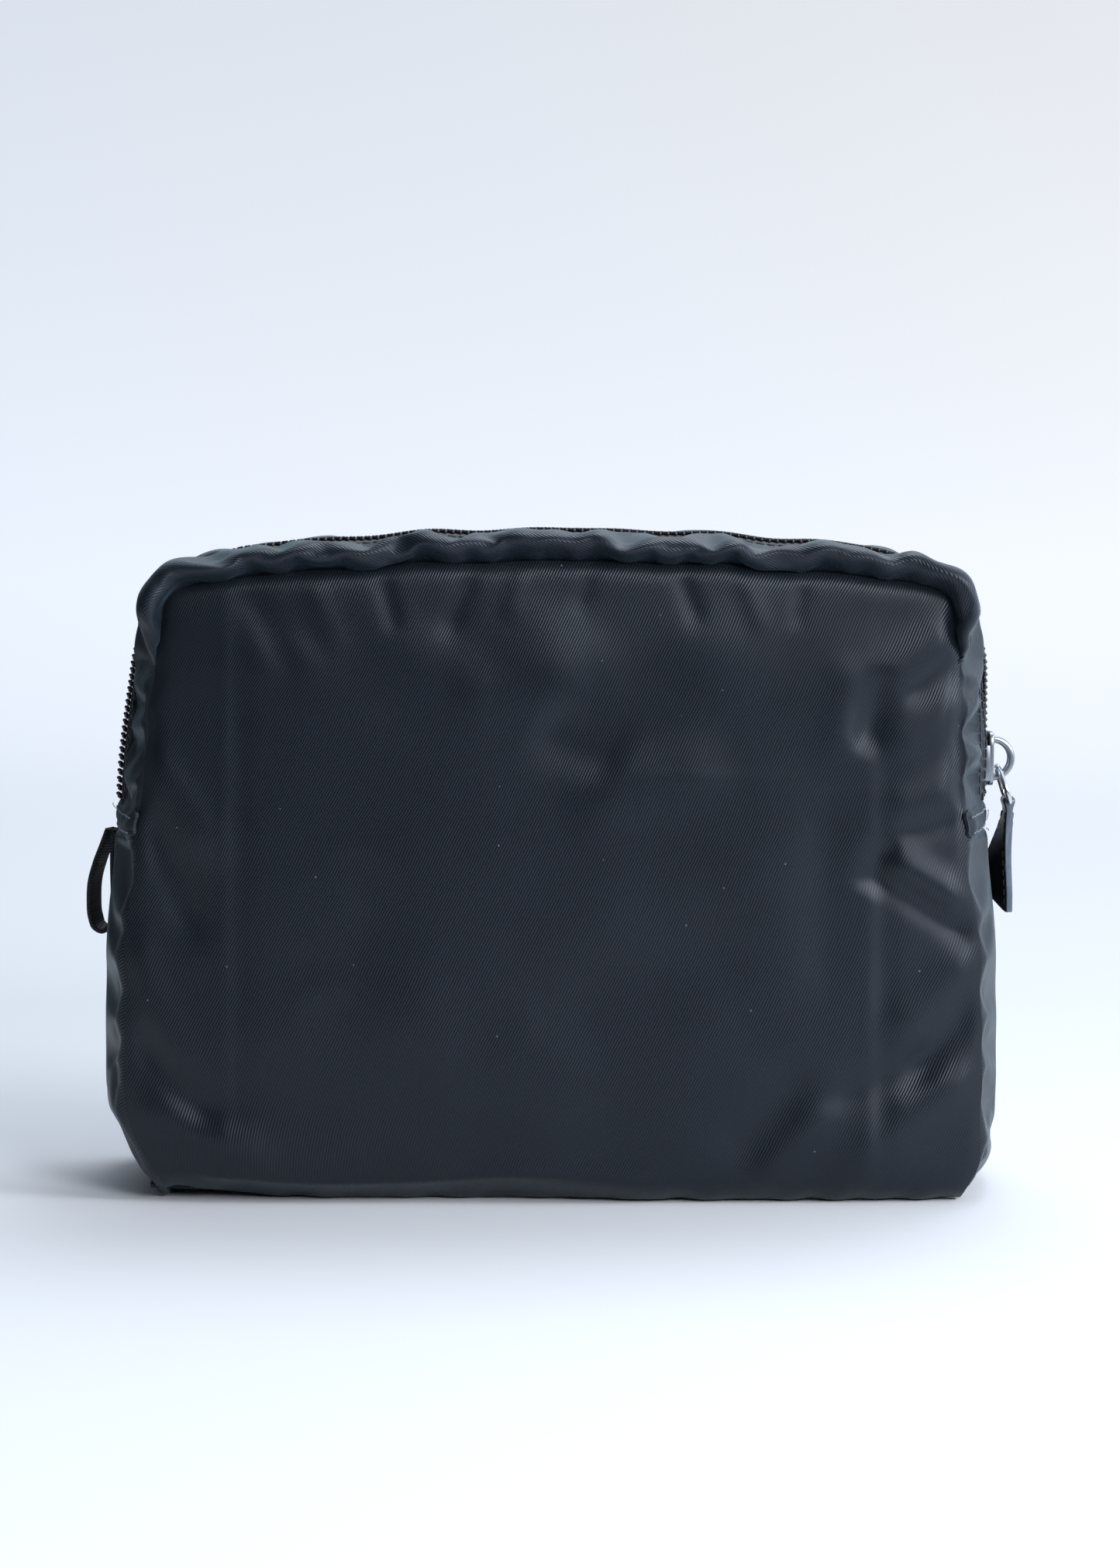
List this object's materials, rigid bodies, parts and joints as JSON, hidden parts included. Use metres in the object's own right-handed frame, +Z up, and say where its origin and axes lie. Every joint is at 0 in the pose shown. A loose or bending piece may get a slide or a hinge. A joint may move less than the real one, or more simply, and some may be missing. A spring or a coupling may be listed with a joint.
{
  "type": "makeup bag",
  "caption": "Boxed soft zipped makeup bag with a zip over the top, a folding front lip, a metal slider with a leather pull, and a ribbon loop.",
  "frame": {"origin": "centre of the base, on its underside", "axes": "+Z up, +X towards the closed end of the zip with the slider, -Y towards the front"},
  "size_m": [0.2104, 0.07, 0.1489],
  "materials": {
    "panel_twill": "black satin nylon twill",
    "gusset_twill": "black satin nylon twill, gathered",
    "end_tab": "folded twill band with two stitch rows",
    "lining": "plain black polyester lining",
    "zip_tape": "woven black polyester tape",
    "zip_coil": "black nylon coil, slight sheen",
    "thread": "black sewing thread",
    "ribbon": "black grosgrain ribbon",
    "slider_metal": "polished nickel, slightly worn",
    "link_wire": "polished nickel wire",
    "pull_leather": "black polished leather with painted edges",
    "pull_thread": "waxed black thread"
  },
  "bodies": {
    "root": {"front_panel_lower": "panel_twill", "back_panel": "panel_twill", "base_panel": "panel_twill", "side_gusset_right": "gusset_twill", "side_gusset_left": "gusset_twill", "zip_gusset_front_right": "gusset_twill", "zip_gusset_front_left": "gusset_twill", "zip_gusset_rear": "gusset_twill", "zip_tape_front_right": "zip_tape", "zip_tape_front_left": "zip_tape", "zip_tape_rear": "zip_tape", "zip_coil_front_right": "zip_coil", "zip_coil_front_left": "zip_coil", "zip_coil_rear": "zip_coil", "topstitch_front_right": "thread", "topstitch_front_left": "thread", "topstitch_rear": "thread", "end_tab_right": "end_tab", "end_tab_left": "end_tab", "lining_front_lower": "lining", "lining_back": "lining", "lining_base": "lining", "lining_side_right": "lining", "lining_side_left": "lining", "lining_gusset_front_right": "lining", "lining_gusset_front_left": "lining", "lining_gusset_rear": "lining"},
    "front_lip": {"front_panel_upper": "panel_twill", "zip_gusset_front_upper": "gusset_twill", "zip_tape_front_upper": "zip_tape", "zip_coil_front_upper": "zip_coil", "topstitch_front_upper": "thread", "lining_front_upper": "lining", "lining_gusset_front_upper": "lining"},
    "slider": {"slider_body": "slider_metal", "slider_bail": "slider_metal"},
    "pull_link": {"pull_link": "link_wire"},
    "pull_tab": {"pull_leather": "pull_leather", "pull_stitching": "pull_thread"},
    "ribbon_loop": {"loop_ribbon": "ribbon"}
  },
  "joints": [
    {"name": "mouth_front", "type": "hinge", "parent": "root", "child": "front_lip", "pos_m": [0, -0.035, 0.104], "axis": [1, 0, 0], "range_deg": [0, 50]},
    {"name": "slider_travel", "type": "slide", "parent": "root", "child": "slider", "axis": [0, 0, 1], "range_m": [0, 0.019]},
    {"name": "link_swing", "type": "hinge", "parent": "slider", "child": "pull_link", "pos_m": [0.10165, 0, 0.09421], "axis": [0, -1, 0], "range_deg": [0, 90]},
    {"name": "pull_swing", "type": "hinge", "parent": "pull_link", "child": "pull_tab", "pos_m": [0.104, 0, 0.08698], "axis": [0, -1, 0], "range_deg": [0, 100]},
    {"name": "loop_swing", "type": "hinge", "parent": "root", "child": "ribbon_loop", "pos_m": [-0.0988, 0, 0.081], "axis": [0, 1, 0], "range_deg": [0, 65]}
  ]
}
